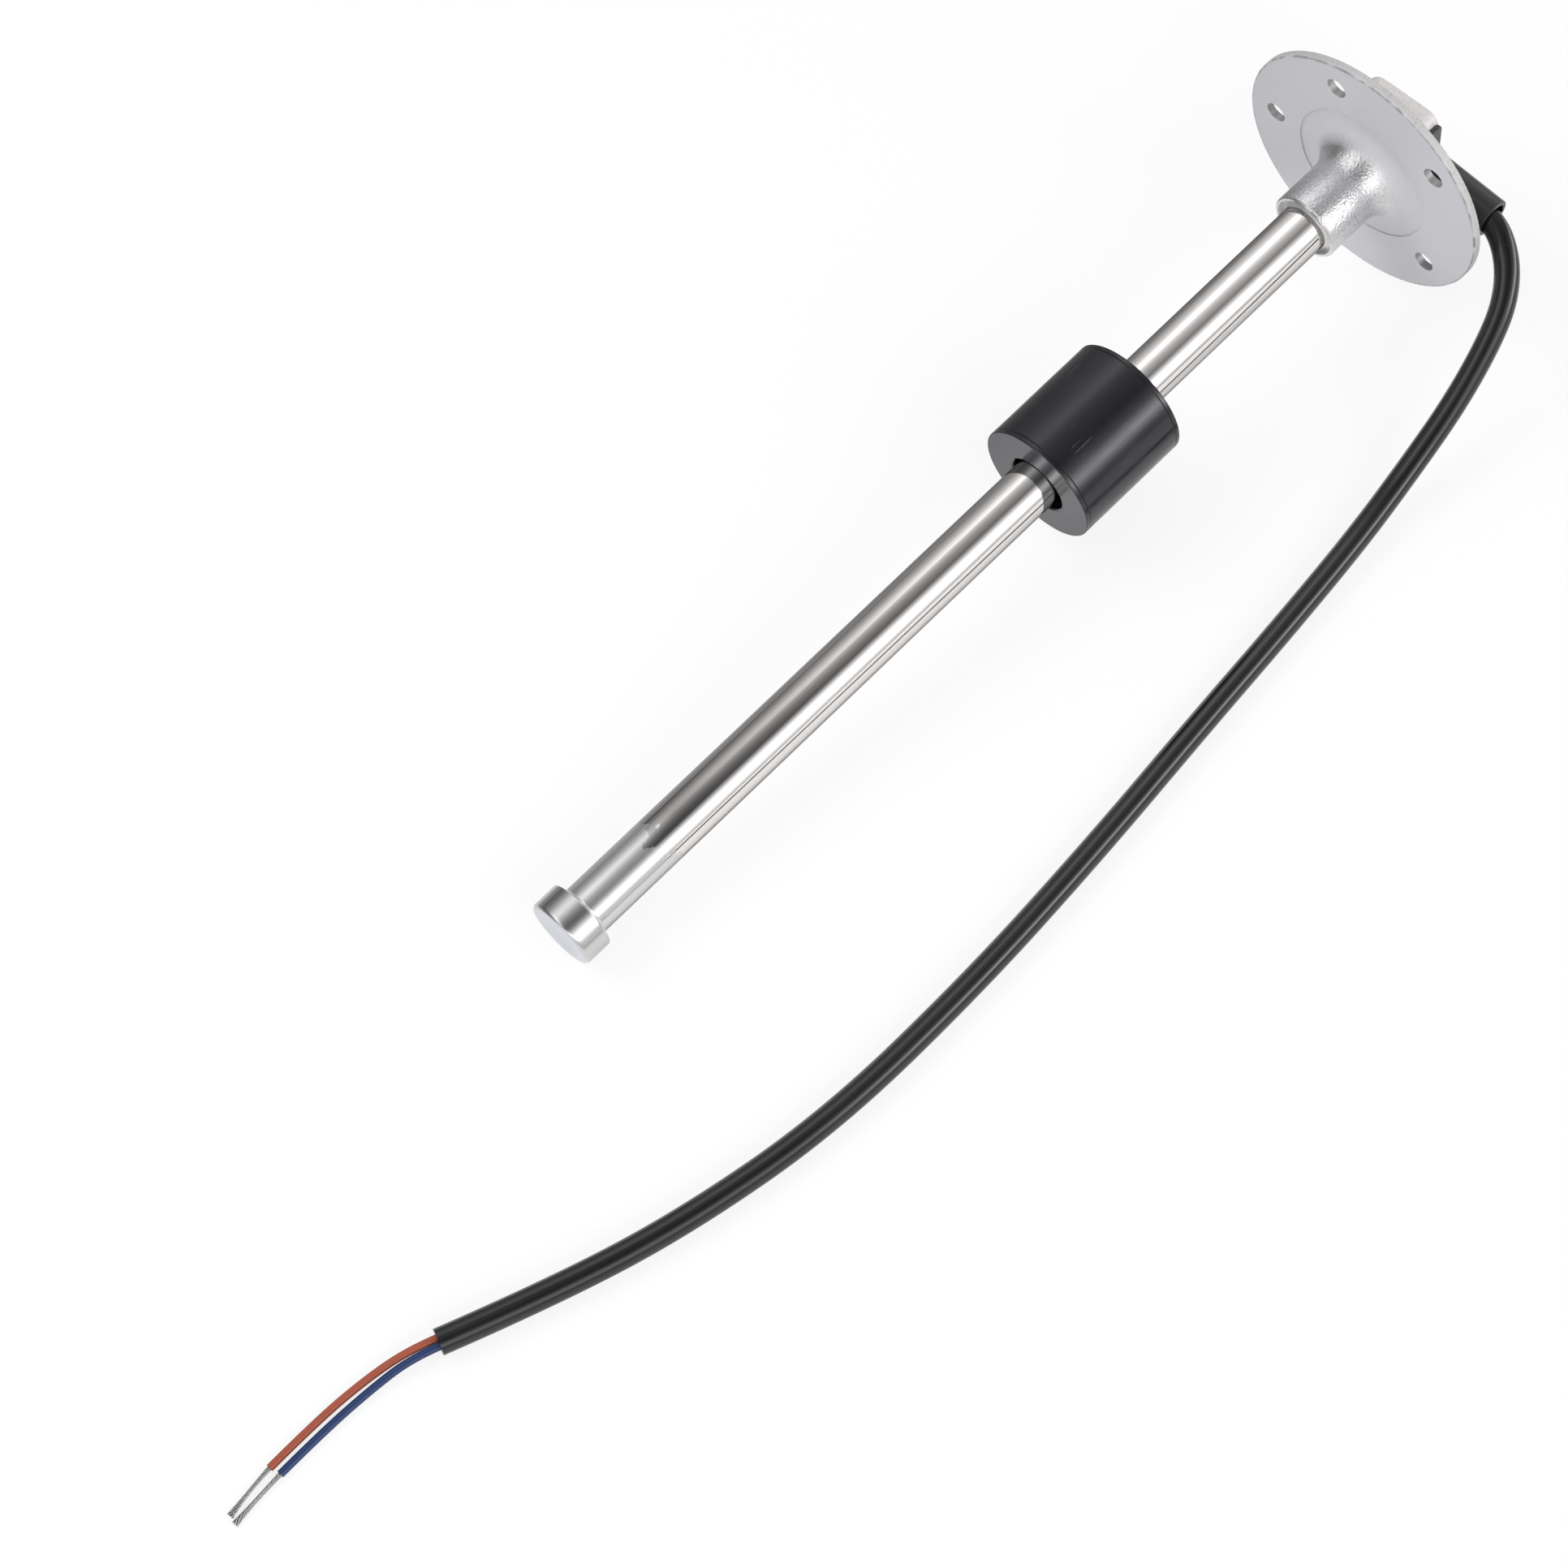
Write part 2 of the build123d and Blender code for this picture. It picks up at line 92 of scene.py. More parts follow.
def grain_group():
    """Fine grain for bumps and a broad cloud for tone and gloss."""
    group, given, out = new_group(
        "skin_grain",
        [
            ("Vector", "NodeSocketVector", None),
            ("Grain Scale", "NodeSocketFloat", 2600.0),
            ("Cloud Scale", "NodeSocketFloat", 60.0),
        ],
        ["Grain", "Cloud"],
    )
    fine = group.nodes.new("ShaderNodeTexNoise")
    fine.inputs["Detail"].default_value = 3.0
    cloud = group.nodes.new("ShaderNodeTexNoise")
    cloud.inputs["Detail"].default_value = 4.0
    group.links.new(given.outputs["Vector"], fine.inputs["Vector"])
    group.links.new(given.outputs["Grain Scale"], fine.inputs["Scale"])
    group.links.new(given.outputs["Vector"], cloud.inputs["Vector"])
    group.links.new(given.outputs["Cloud Scale"], cloud.inputs["Scale"])
    group.links.new(fine.outputs["Fac"], out.inputs["Grain"])
    group.links.new(cloud.outputs["Fac"], out.inputs["Cloud"])
    return group


skin_grain = grain_group()


def stem_measure_group():
    """How far along the stem a point is from the flange's underside, and how far from its axis."""
    group, given, out = new_group(
        "stem_measure", [("Vector", "NodeSocketVector", None)], ["Along", "Radius"]
    )
    turn = Matrix.Rotation(stem_slope + math.pi / 2, 3, "Y")
    square = group.nodes.new("ShaderNodeMapping")
    square.inputs["Rotation"].default_value = (0, stem_slope + math.pi / 2, 0)
    square.inputs["Location"].default_value = -(turn @ flange_centre)
    split = group.nodes.new("ShaderNodeSeparateXYZ")
    flat = group.nodes.new("ShaderNodeVectorMath")
    flat.operation = "MULTIPLY"
    flat.inputs[1].default_value = (1, 1, 0)
    radius = group.nodes.new("ShaderNodeVectorMath")
    radius.operation = "LENGTH"
    group.links.new(given.outputs["Vector"], square.inputs["Vector"])
    group.links.new(square.outputs["Vector"], split.inputs[0])
    group.links.new(square.outputs["Vector"], flat.inputs[0])
    group.links.new(flat.outputs["Vector"], radius.inputs[0])
    group.links.new(split.outputs["Z"], out.inputs["Along"])
    group.links.new(radius.outputs["Value"], out.inputs["Radius"])
    return group


stem_measure = stem_measure_group()


def span_mask(material, source, low, high, name):
    """0 below low and 1 above high, clamped."""
    mask = material.node_tree.nodes.new("ShaderNodeMapRange")
    mask.name = name
    mask.inputs["From Min"].default_value = low
    mask.inputs["From Max"].default_value = high
    material.node_tree.links.new(source, mask.inputs["Value"])
    return mask.outputs["Result"]


def measure(material):
    """The measuring group, reading the piece's own Object coordinates."""
    nodes = material.node_tree.nodes
    place = nodes.new("ShaderNodeTexCoord")
    gauge = nodes.new("ShaderNodeGroup")
    gauge.node_tree = stem_measure
    material.node_tree.links.new(place.outputs["Object"], gauge.inputs["Vector"])
    return gauge


def overlay(material, socket, mask, tone):
    """Lays a tone over the base colour, or a value over another input, where the mask is 1."""
    nodes = material.node_tree.nodes
    links = material.node_tree.links
    surface = nodes["Principled BSDF"].inputs[socket]
    blend = nodes.new("ShaderNodeMix")
    if socket == "Base Color":
        blend.data_type = "RGBA"
    blend.inputs["B"].default_value = tone
    if surface.is_linked:
        links.new(surface.links[0].from_socket, blend.inputs["A"])
    else:
        blend.inputs["A"].default_value = surface.default_value
    links.new(mask, blend.inputs["Factor"])
    links.new(blend.outputs["Result"], surface)


def combine(material, way, first, second):
    """Two masks multiplied, or the larger of the two."""
    both = material.node_tree.nodes.new("ShaderNodeMath")
    both.operation = way
    material.node_tree.links.new(first, both.inputs[0])
    material.node_tree.links.new(second, both.inputs[1])
    return both.outputs["Value"]


def ragged(material, mask, scale, amount):
    """Breaks a mask up with noise."""
    nodes = material.node_tree.nodes
    links = material.node_tree.links
    place = nodes.new("ShaderNodeTexCoord")
    noise = nodes.new("ShaderNodeTexNoise")
    noise.inputs["Scale"].default_value = scale
    noise.inputs["Detail"].default_value = 3.0
    cut = nodes.new("ShaderNodeMapRange")
    cut.inputs["From Min"].default_value = 0.5 - amount
    cut.inputs["From Max"].default_value = 0.5 + amount
    product = nodes.new("ShaderNodeMath")
    product.operation = "MULTIPLY"
    links.new(place.outputs["Object"], noise.inputs["Vector"])
    links.new(noise.outputs["Fac"], cut.inputs["Value"])
    links.new(mask, product.inputs[0])
    links.new(cut.outputs["Result"], product.inputs[1])
    return product.outputs["Value"]


def soften(material, mask, least):
    """Weakens the relief to a share where the mask is 0."""
    nodes = material.node_tree.nodes
    links = material.node_tree.links
    relief = nodes["relief"]
    height = relief.inputs["Height"].links[0].from_socket
    share = nodes.new("ShaderNodeMapRange")
    share.inputs["To Min"].default_value = least
    product = nodes.new("ShaderNodeMath")
    product.operation = "MULTIPLY"
    links.new(mask, share.inputs["Value"])
    links.new(height, product.inputs[0])
    links.new(share.outputs["Result"], product.inputs[1])
    links.new(product.outputs["Value"], relief.inputs["Height"])


def wavy(material, source, scale, amount):
    """A measure that wanders with noise, for a ragged edge."""
    nodes = material.node_tree.nodes
    links = material.node_tree.links
    place = nodes.new("ShaderNodeTexCoord")
    noise = nodes.new("ShaderNodeTexNoise")
    noise.inputs["Scale"].default_value = scale
    swing = nodes.new("ShaderNodeMapRange")
    swing.inputs["To Min"].default_value = -amount
    swing.inputs["To Max"].default_value = amount
    total = nodes.new("ShaderNodeMath")
    links.new(place.outputs["Object"], noise.inputs["Vector"])
    links.new(noise.outputs["Fac"], swing.inputs["Value"])
    links.new(source, total.inputs[0])
    links.new(swing.outputs["Result"], total.inputs[1])
    return total.outputs["Value"]


def finish(name, tones, gloss, metallic=0.0, grain=2600.0, cloud=60.0, bump=0.1, depth=0.00005):
    """A Principled material whose tone and roughness drift with the cloud, with a fine bump."""
    material = bpy.data.materials.new(name)
    material.use_nodes = True
    nodes = material.node_tree.nodes
    links = material.node_tree.links
    shader = nodes["Principled BSDF"]
    shader.inputs["Metallic"].default_value = metallic
    place = nodes.new("ShaderNodeTexCoord")
    skin = nodes.new("ShaderNodeGroup")
    skin.node_tree = skin_grain
    skin.inputs["Grain Scale"].default_value = grain
    skin.inputs["Cloud Scale"].default_value = cloud
    links.new(place.outputs["Object"], skin.inputs["Vector"])
    tone = nodes.new("ShaderNodeMix")
    tone.data_type = "RGBA"
    tone.inputs["A"].default_value = (*tones[0], 1)
    tone.inputs["B"].default_value = (*tones[1], 1)
    links.new(skin.outputs["Cloud"], tone.inputs["Factor"])
    links.new(tone.outputs["Result"], shader.inputs["Base Color"])
    sheen = nodes.new("ShaderNodeMapRange")
    sheen.inputs["From Min"].default_value = 0.3
    sheen.inputs["From Max"].default_value = 0.7
    sheen.inputs["To Min"].default_value = gloss[0]
    sheen.inputs["To Max"].default_value = gloss[1]
    links.new(skin.outputs["Cloud"], sheen.inputs["Value"])
    links.new(sheen.outputs["Result"], shader.inputs["Roughness"])
    relief = nodes.new("ShaderNodeBump")
    relief.name = "relief"
    relief.inputs["Strength"].default_value = bump
    relief.inputs["Distance"].default_value = depth
    links.new(skin.outputs["Grain"], relief.inputs["Height"])
    links.new(relief.outputs["Normal"], shader.inputs["Normal"])
    return material


def dress(node, material):
    """Gives a CAD node its finish."""
    piece = bpy.data.objects[node]
    if not piece.material_slots:
        piece.data.materials.append(material)
    for place in piece.material_slots:
        place.material = material


cast_skin = finish(
    "sandblasted_casting",
    [(0.70, 0.70, 0.705), (0.80, 0.80, 0.805)],
    (0.25, 0.33),
    metallic=1.0,
    grain=1700.0,
    cloud=90.0,
    bump=1.0,
    depth=0.00016,
)
cast_gauge = measure(cast_skin)
cast_along = cast_gauge.outputs["Along"]
cast_radius = cast_gauge.outputs["Radius"]
cast_grain = cast_skin.node_tree.nodes["relief"].inputs["Height"].links[0].from_socket
pits = span_mask(cast_skin, cast_grain, *pit_span, "pits")
overlay(cast_skin, "Base Color", pits, pit_tone)
seat_plane = cast_skin.node_tree.nodes.new("ShaderNodeMath")
seat_plane.operation = "ABSOLUTE"
cast_skin.node_tree.links.new(cast_along, seat_plane.inputs[0])
off_seat = span_mask(cast_skin, seat_plane.outputs[0], *off_seat_span, "off_seat")
soften(cast_skin, off_seat, seat_relief)
on_seat = span_mask(cast_skin, seat_plane.outputs[0], *on_seat_span, "on_seat")
overlay(cast_skin, "Roughness", on_seat, 0.62)
overlay(cast_skin, "Metallic", on_seat, 0.30)
overlay(cast_skin, "Base Color", on_seat, seat_tone)
rim_band = span_mask(cast_skin, cast_radius, *rim_band_span, "rim_band")
past_edge = span_mask(cast_skin, cast_along, *past_edge_span, "past_edge")
block_side = span_mask(cast_skin, cast_along, *block_side_span, "block_side")
rim_back = combine(cast_skin, "MULTIPLY", rim_band, past_edge)
back_side = combine(cast_skin, "MAXIMUM", rim_back, block_side)
overlay(cast_skin, "Base Color", back_side, back_tone)
overlay(cast_skin, "Roughness", back_side, 0.60)
overlay(cast_skin, "Metallic", back_side, 0.35)
back_pits = combine(cast_skin, "MULTIPLY", back_side, pits)
overlay(cast_skin, "Base Color", back_pits, back_pit_tone)
below_face = span_mask(cast_skin, cast_along, *below_face_span, "below_face")
above_back = span_mask(cast_skin, cast_along, *above_back_span, "above_back")
in_plate = combine(cast_skin, "MULTIPLY", below_face, above_back)
# The walls inside the bolt holes: a darker tone that is painted shade, with a matte, less metallic
# finish.
inside_holes = span_mask(cast_skin, cast_radius, *inside_holes_span, "inside_holes")
outside_holes = span_mask(cast_skin, cast_radius, *outside_holes_span, "outside_holes")
hole_ring = combine(cast_skin, "MULTIPLY", inside_holes, outside_holes)
hole_wall = combine(cast_skin, "MULTIPLY", in_plate, hole_ring)
overlay(cast_skin, "Base Color", hole_wall, hole_shade_tone)
overlay(cast_skin, "Roughness", hole_wall, 0.50)
overlay(cast_skin, "Metallic", hole_wall, 0.60)
outer = span_mask(cast_skin, cast_radius, *outer_span, "outer")
lower_edge = span_mask(cast_skin, cast_along, *lower_edge_span, "lower_edge")
edge_line = combine(cast_skin, "MULTIPLY", outer, lower_edge)
rim_wall = combine(cast_skin, "MULTIPLY", outer, past_edge)
overlay(cast_skin, "Base Color", rim_wall, rim_tone)
overlay(cast_skin, "Metallic", rim_wall, 0.20)
rim_pits = combine(cast_skin, "MULTIPLY", rim_wall, pits)
overlay(cast_skin, "Base Color", rim_pits, rim_pit_tone)
# A thin dark line, broken up with noise, along the flange's lower outer edge.
edge_dark_line = ragged(cast_skin, edge_line, edge_break_scale, edge_break_amount)
overlay(cast_skin, "Base Color", edge_dark_line, edge_line_tone)
dress("flange_casting", cast_skin)

# Stem: a thin drawn tube of stainless steel, polished, seated in the boss and the cap.
# The last stretch before the cap is dulled, with a ragged border.
dull_wander_scale = 260.0
dull_wander = 0.012
dull_span = (0.2405, 0.2411)
dull_tone = (0.66, 0.65, 0.645, 1)
tube_edge_tint = (0.35, 0.35, 0.35, 1)
tube_steel = finish(
    "polished_tube",
    [(0.77, 0.75, 0.73), (0.82, 0.795, 0.775)],
    (0.05, 0.09),
    metallic=1.0,
    grain=900.0,
    cloud=45.0,
    bump=0.004,
    depth=0.00001,
)
tube_gauge = measure(tube_steel)
dull_start = wavy(tube_steel, tube_gauge.outputs["Along"], dull_wander_scale, dull_wander)
dull_end = span_mask(tube_steel, dull_start, *dull_span, "dull_end")
overlay(tube_steel, "Roughness", dull_end, 0.20)
overlay(tube_steel, "Metallic", dull_end, 0.80)
overlay(tube_steel, "Base Color", dull_end, dull_tone)
tube_shader = tube_steel.node_tree.nodes["Principled BSDF"]
tube_shader.inputs["Specular Tint"].default_value = tube_edge_tint
dress("stem_tube", tube_steel)

# Welds: a dull bead of weld metal round the tube in the boss's recess, and another where
# the tube enters the cap. Both run all the way round the tube.
weld_bead = finish(
    "weld_bead",
    [(0.66, 0.655, 0.65), (0.76, 0.755, 0.75)],
    (0.20, 0.36),
    metallic=0.8,
    grain=1500.0,
    cloud=300.0,
    bump=0.35,
    depth=0.0002,
)
dress("stem_weld", weld_bead)
dress("cap_weld", weld_bead)

# End cap: a plug turned from steel bar, satin on its side and a little bluer on its flat
# end. The tube sits in its socket.
cap_end_span = (0.26995, 0.27025)
cap_end_tone = (0.60, 0.61, 0.66, 1)
cap_steel = finish(
    "turned_cap",
    [(0.58, 0.58, 0.575), (0.66, 0.66, 0.655)],
    (0.22, 0.30),
    metallic=1.0,
    grain=2400.0,
    cloud=90.0,
    bump=0.15,
    depth=0.00005,
)
cap_gauge = measure(cap_steel)
cap_end = span_mask(cap_steel, cap_gauge.outputs["Along"], *cap_end_span, "cap_end")
overlay(cap_steel, "Base Color", cap_end, cap_end_tone)
dress("end_cap", cap_steel)

# Float: a ring of dense black rubber foam with a moulded skin, greyer on its flat ends and
# lightly scuffed along its side, and the ferrite ring magnet in the groove of its bore.
lower_end_span = (0.11432, 0.11445)
upper_end_span = (0.08268, 0.08255)
float_end_tone = (0.052, 0.052, 0.060, 1)
scuff_stretch = 0.035
scuff_scale = 2600.0
scuff_span = (0.66, 0.72)
scuff_patch_scale = 110.0
scuff_patch_span = (0.52, 0.60)
scuff_tone = (0.055, 0.055, 0.057, 1)
scuff_gloss = 0.45
float_skin = finish(
    "float_skin",
    [(0.006, 0.006, 0.0085), (0.011, 0.011, 0.0145)],
    (0.16, 0.24),
    grain=1800.0,
    cloud=120.0,
    bump=0.08,
    depth=0.00006,
)


def scuff_group():
    """Fine lengthwise scuffs in a few patches, along the stem's direction."""
    group, given, out = new_group(
        "lengthwise_scuffs", [("Vector", "NodeSocketVector", None)], ["Scuffs"]
    )
    square = group.nodes.new("ShaderNodeMapping")
    square.inputs["Rotation"].default_value = (0, stem_slope + math.pi / 2, 0)
    thin = group.nodes.new("ShaderNodeVectorMath")
    thin.operation = "MULTIPLY"
    thin.inputs[1].default_value = (1, 1, scuff_stretch)
    lines = group.nodes.new("ShaderNodeTexNoise")
    lines.inputs["Scale"].default_value = scuff_scale
    lines.inputs["Detail"].default_value = 1.0
    patches = group.nodes.new("ShaderNodeTexNoise")
    patches.inputs["Scale"].default_value = scuff_patch_scale
    sharp = group.nodes.new("ShaderNodeMapRange")
    sharp.inputs["From Min"].default_value = scuff_span[0]
    sharp.inputs["From Max"].default_value = scuff_span[1]
    where = group.nodes.new("ShaderNodeMapRange")
    where.inputs["From Min"].default_value = scuff_patch_span[0]
    where.inputs["From Max"].default_value = scuff_patch_span[1]
    product = group.nodes.new("ShaderNodeMath")
    product.operation = "MULTIPLY"
    group.links.new(given.outputs["Vector"], square.inputs["Vector"])
    group.links.new(square.outputs["Vector"], thin.inputs[0])
    group.links.new(thin.outputs["Vector"], lines.inputs["Vector"])
    group.links.new(given.outputs["Vector"], patches.inputs["Vector"])
    group.links.new(lines.outputs["Fac"], sharp.inputs["Value"])
    group.links.new(patches.outputs["Fac"], where.inputs["Value"])
    group.links.new(sharp.outputs["Result"], product.inputs[0])
    group.links.new(where.outputs["Result"], product.inputs[1])
    group.links.new(product.outputs["Value"], out.inputs["Scuffs"])
    return group


float_scuffs = float_skin.node_tree.nodes.new("ShaderNodeGroup")
float_scuffs.node_tree = scuff_group()
float_place = float_skin.node_tree.nodes.new("ShaderNodeTexCoord")
float_skin.node_tree.links.new(float_place.outputs["Object"], float_scuffs.inputs["Vector"])
overlay(float_skin, "Base Color", float_scuffs.outputs["Scuffs"], scuff_tone)
overlay(float_skin, "Roughness", float_scuffs.outputs["Scuffs"], scuff_gloss)
float_along = measure(float_skin).outputs["Along"]
lower_end = span_mask(float_skin, float_along, *lower_end_span, "lower_end")
upper_end = span_mask(float_skin, float_along, *upper_end_span, "upper_end")
both_ends = combine(float_skin, "MAXIMUM", lower_end, upper_end)
overlay(float_skin, "Base Color", both_ends, float_end_tone)
dress("float_body", float_skin)
ferrite = finish("ferrite", [(0.05, 0.05, 0.052), (0.08, 0.08, 0.085)], (0.45, 0.6), bump=0.3)
dress("magnet_ring", ferrite)

# Reed board: a green board with glass reed capsules, chip resistors and tinned wire ends,
# held in the tube by black rubber rings and closed off above by cast resin.
board_green = finish("board_green", [(0.02, 0.12, 0.05), (0.03, 0.16, 0.07)], (0.3, 0.4), bump=0.05)
dress("circuit_board", board_green)
reed_glass = finish("reed_glass", [(0.80, 0.88, 0.84), (0.86, 0.92, 0.90)], (0.03, 0.06), bump=0.0)
reed_glass.node_tree.nodes["Principled BSDF"].inputs["Transmission Weight"].default_value = 0.85
dress("reed_capsules", reed_glass)
tinned_wire = finish(
    "tinned_wire",
    [(0.34, 0.335, 0.33), (0.46, 0.45, 0.44)],
    (0.18, 0.3),
    metallic=1.0,
    bump=0.1,
)
dress("reed_leads", tinned_wire)
chip_ceramic = finish("chip_ceramic", [(0.02, 0.02, 0.02), (0.035, 0.035, 0.035)], (0.4, 0.55), bump=0.1)
dress("chip_resistors", chip_ceramic)
spacer_rubber = finish("spacer_rubber", [(0.02, 0.02, 0.02), (0.03, 0.03, 0.03)], (0.5, 0.65), bump=0.2)
dress("board_spacers", spacer_rubber)
cast_resin = finish("cast_resin", [(0.03, 0.025, 0.02), (0.05, 0.04, 0.03)], (0.15, 0.25), bump=0.05)
dress("potting_plug", cast_resin)

# Cable boot: moulded black rubber. Its plate lies on the block's side, and its open sleeve
# guards the cable where it leaves the port.
boot_rubber = finish(
    "boot_rubber",
    [(0.007, 0.007, 0.008), (0.012, 0.012, 0.0135)],
    (0.26, 0.38),
    grain=2000.0,
    cloud=140.0,
    bump=0.12,
    depth=0.00005,
)
dress("cable_boot", boot_rubber)

# Cable: a round glossy black jacket that leaves the block through the boot, drops to the
# table and runs along it to its cut end.
cable_diameter = 0.0062
cable_route = [
    (0.13670, -0.0050, 0.03611),
    (0.13668, -0.0087, 0.03626),
    (0.13671, -0.0206, 0.03593),
    (0.1368, -0.0320, 0.0355),
    (0.1329, -0.0402, 0.0320),
    (0.1260, -0.0462, 0.0272),
    (0.1167, -0.0495, 0.0216),
    (0.1029, -0.0523, 0.0141),
    (0.0860, -0.0544, 0.0081),
    (0.0638, -0.0573, 0.0040),
    (0.0340, -0.0606, 0.0031),
    (-0.0002, -0.0640, 0.0031),
    (-0.0400, -0.0684, 0.0031),
    (-0.0838, -0.0719, 0.0031),
    (-0.1308, -0.0726, 0.0031),
    (-0.1704, -0.0665, 0.0031),
    (-0.2014, -0.0577, 0.0031),
    (-0.2258, -0.0487, 0.0031),
]


def cord_curve(name, route, diameter, material):
    """A smooth round cord along its route's points."""
    curve = bpy.data.curves.new(name, "CURVE")
    curve.dimensions = "3D"
    curve.bevel_depth = diameter / 2
    curve.bevel_resolution = 6
    curve.resolution_u = 12
    curve.use_fill_caps = True
    spline = curve.splines.new("NURBS")
    spline.points.add(len(route) - 1)
    for point, place in zip(spline.points, route):
        point.co = (*place, 1)
    spline.order_u = 3
    spline.use_endpoint_u = True
    curve.materials.append(material)
    piece = bpy.data.objects.new(name, curve)
    bpy.context.scene.collection.objects.link(piece)
    return piece


jacket_black = finish(
    "jacket_black",
    [(0.007, 0.007, 0.008), (0.012, 0.012, 0.0135)],
    (0.12, 0.19),
    grain=1500.0,
    cloud=80.0,
    bump=0.05,
    depth=0.00004,
)
cable = cord_curve("cable", cable_route, cable_diameter, jacket_black)
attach(cable, "sender")
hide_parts("cable_jacket")

# Cores: two insulated wires, blue in front and brown behind, that leave the cut jacket and
# run beside each other on the table.
core_diameter = 0.0018
blue_route = [
    (-0.22613, -0.04959, 0.0031),
    (-0.23223, -0.04734, 0.0031),
    (-0.2420, -0.0457, 0.0011),
    (-0.2555, -0.0453, 0.00095),
    (-0.2683, -0.0458, 0.00095),
]
brown_route = [
    (-0.22547, -0.04781, 0.0031),
    (-0.23157, -0.04556, 0.0031),
    (-0.2415, -0.0433, 0.0011),
    (-0.2550, -0.0426, 0.00095),
    (-0.2690, -0.0432, 0.00095),
]
blue_pvc = finish("blue_pvc", [(0.006, 0.022, 0.085), (0.010, 0.032, 0.115)], (0.28, 0.4), bump=0.05)
brown_pvc = finish("brown_pvc", [(0.27, 0.055, 0.028), (0.33, 0.075, 0.038)], (0.3, 0.42), bump=0.05)
blue_wire = cord_curve("blue_wire", blue_route, core_diameter, blue_pvc)
brown_wire = cord_curve("brown_wire", brown_route, core_diameter, brown_pvc)
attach(blue_wire, "sender")
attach(brown_wire, "sender")
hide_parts("blue_core")
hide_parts("brown_core")
dress("blue_lead", blue_pvc)
dress("brown_lead", brown_pvc)

# Strands: each core's bare end is a bundle of fine tinned wires, twisted and slightly
# splayed at the tip.
strand_count = 7
strand_diameter = 0.00036
bundle_radius = 0.00042
twist_pitch = 0.0085
waist_share = 0.25
tip_splay = 0.6
blue_strand_route = [
    (-0.2683, -0.0458, 0.00095),
    (-0.2752, -0.0462, 0.00075),
    (-0.2821, -0.0470, 0.00065),
]
brown_strand_route = [
    (-0.2690, -0.0432, 0.00095),
    (-0.2755, -0.0438, 0.00075),
    (-0.2816, -0.0450, 0.00065),
]


def route_line(route):
    """Points along the route's smooth line, read from a curve with no bevel."""
    guide = cord_curve("guide", route, 0, None)
    mesh = bpy.data.meshes.new_from_object(guide)
    line = [vertex.co.copy() for vertex in mesh.vertices]
    bpy.data.meshes.remove(mesh)
    bpy.data.objects.remove(guide)
    return line


def strand_bundle(name, route, hand):
    """One straight wire with six twisted round it."""
    line = route_line(route)
    curve = bpy.data.curves.new(name, "CURVE")
    curve.dimensions = "3D"
    curve.bevel_depth = strand_diameter / 2
    curve.bevel_resolution = 2
    curve.resolution_u = 2
    curve.use_fill_caps = True
    way = (line[-1] - line[0]).normalized()
    side = way.cross(Vector((0, 0, 1))).normalized()
    rise = side.cross(way)
    for index in range(strand_count):
        radius = 0 if index == 0 else bundle_radius
        spline = curve.splines.new("NURBS")
        spline.points.add(len(line) - 1)
        for point, place in zip(spline.points, line):
            along = (place - line[0]).length
            share = along / (line[-1] - line[0]).length
            angle = 2 * math.pi * (hand * along / twist_pitch + index / (strand_count - 1))
            spread = radius * (1 - waist_share * math.sin(math.pi * share))
            across = side * math.cos(angle) * spread * (1 + tip_splay * share**4)
            offset = across + rise * math.sin(angle) * spread
            point.co = (*(place + offset), 1)
        spline.order_u = 3
        spline.use_endpoint_u = True
    curve.materials.append(tinned_wire)
    piece = bpy.data.objects.new(name, curve)
    bpy.context.scene.collection.objects.link(piece)
    return piece


blue_bundle = strand_bundle("blue_bundle", blue_strand_route, 1)
brown_bundle = strand_bundle("brown_bundle", brown_strand_route, -1)
for bundle, node in ((blue_bundle, "blue_strands"), (brown_bundle, "brown_strands")):
    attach(bundle, "sender")
    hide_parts(node)

# Table: a plain pale surface that keeps the unit's soft shadow. It glows white to the
# camera. Polished metal mirrors less of that glow, and a darker table past the stem.
table_size = 3.0
table_tone = (0.86, 0.86, 0.86, 1)
camera_share = 0.82
dark_start = 0.015
dark_end = 0.050
near_share = 0.25
far_share = 0.70
floor_mesh = bpy.data.meshes.new("table")
floor_bm = bmesh.new()
bmesh.ops.create_grid(floor_bm, x_segments=1, y_segments=1, size=table_size)
floor_bm.to_mesh(floor_mesh)
floor_bm.free()
table = bpy.data.objects.new("table", floor_mesh)
bpy.context.scene.collection.objects.link(table)
table_white = bpy.data.materials.new("table_white")
table_white.use_nodes = True
table_nodes = table_white.node_tree.nodes
table_links = table_white.node_tree.links
table_shader = table_nodes["Principled BSDF"]
table_shader.inputs["Base Color"].default_value = table_tone
table_shader.inputs["Roughness"].default_value = 0.8
table_glow = table_nodes.new("ShaderNodeEmission")
table_glow.inputs["Color"].default_value = (1, 1, 1, 1)
table_ray = table_nodes.new("ShaderNodeLightPath")
table_seen = table_nodes.new("ShaderNodeMath")
table_seen.operation = "MULTIPLY"
table_seen.inputs[1].default_value = camera_share
table_place = table_nodes.new("ShaderNodeTexCoord")
table_split = table_nodes.new("ShaderNodeSeparateXYZ")
table_far = table_nodes.new("ShaderNodeMapRange")
table_far.inputs["From Min"].default_value = dark_start
table_far.inputs["From Max"].default_value = dark_end
table_far.inputs["To Min"].default_value = near_share
table_far.inputs["To Max"].default_value = far_share
table_near = table_nodes.new("ShaderNodeMapRange")
table_near.inputs["From Min"].default_value = dark_end
table_near.inputs["From Max"].default_value = dark_start
table_level = table_nodes.new("ShaderNodeMath")
table_level.operation = "MAXIMUM"
table_mirrored = table_nodes.new("ShaderNodeMath")
table_mirrored.operation = "MULTIPLY"
table_share = table_nodes.new("ShaderNodeMath")
table_share.operation = "MAXIMUM"
table_mix = table_nodes.new("ShaderNodeMixShader")
